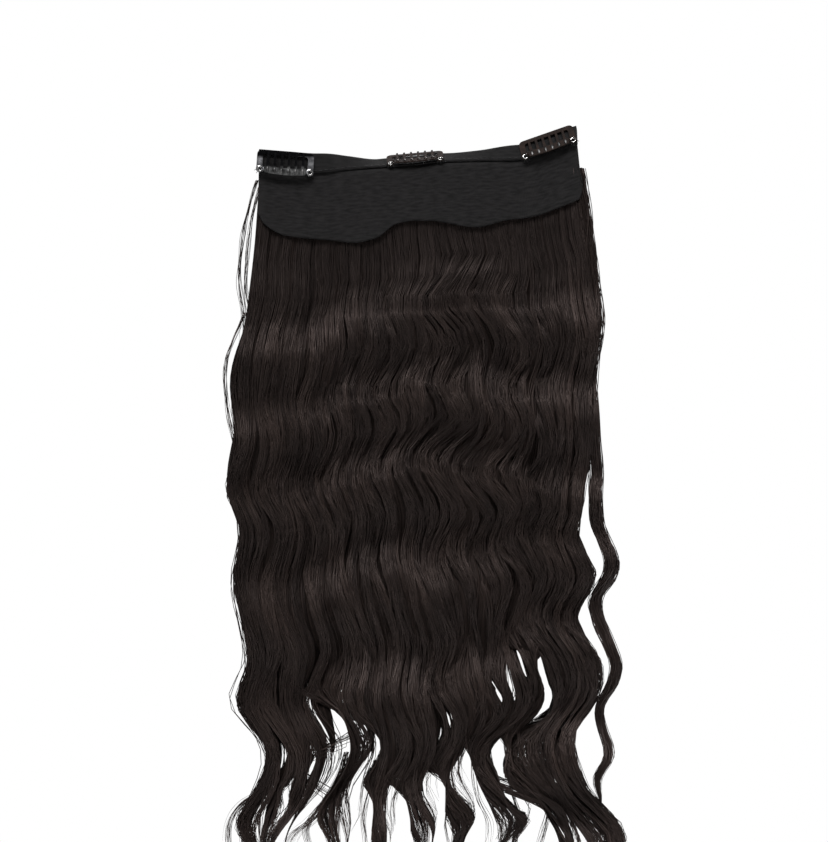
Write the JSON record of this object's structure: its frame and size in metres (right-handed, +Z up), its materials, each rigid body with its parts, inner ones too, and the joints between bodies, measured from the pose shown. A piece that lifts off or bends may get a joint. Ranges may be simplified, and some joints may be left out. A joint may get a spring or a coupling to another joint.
{
  "type": "volumizing hairpiece",
  "caption": "Clip-in volumizing hairpiece: wavy dark hair hanging from a black cloth panel with a bracket-shaped edge, a folded hem and snap clips.",
  "frame": {"origin": "middle of the clip line on the panel's mid-surface, where the piece is held up", "axes": "+X along the panel, +Z up against the fall of the hair, -Y out of the inner side, which lies on the head"},
  "size_m": [0.2208, 0.0418, 0.4328],
  "materials": {
    "panel_cloth": "matt black stretch cloth with a fine weave",
    "hem_cloth": "matt black folded tape",
    "lower_hair": "glossy wavy dark brown hair",
    "upper_hair": "glossy wavy dark brown hair",
    "clip_frame_metal": "satin plated spring steel",
    "clip_comb_metal": "satin plated spring steel"
  },
  "bodies": {
    "panel": {"base_panel": "panel_cloth", "hem_band": "hem_cloth", "lower_weft": "lower_hair", "upper_weft": "upper_hair", "clip_frame_left": "clip_frame_metal", "clip_frame_centre": "clip_frame_metal", "clip_frame_right": "clip_frame_metal"},
    "comb_left": {"clip_comb_left": "clip_comb_metal"},
    "comb_centre": {"clip_comb_centre": "clip_comb_metal"},
    "comb_right": {"clip_comb_right": "clip_comb_metal"}
  },
  "joints": [
    {"name": "left_comb_snap", "type": "hinge", "parent": "panel", "child": "comb_left", "pos_m": [-0.07355, -0.00983, -0.00264], "axis": [0.988, 0.1389, -0.0677], "range_deg": [0, 40]},
    {"name": "centre_comb_snap", "type": "hinge", "parent": "panel", "child": "comb_centre", "pos_m": [-0.0015, -0.00243, 0.00412], "axis": [0.9958, 0.0026, 0.092], "range_deg": [0, 40]},
    {"name": "right_comb_snap", "type": "hinge", "parent": "panel", "child": "comb_right", "pos_m": [0.0723, -0.00904, 0.01022], "axis": [0.9395, -0.13, 0.3169], "range_deg": [0, 40]}
  ]
}
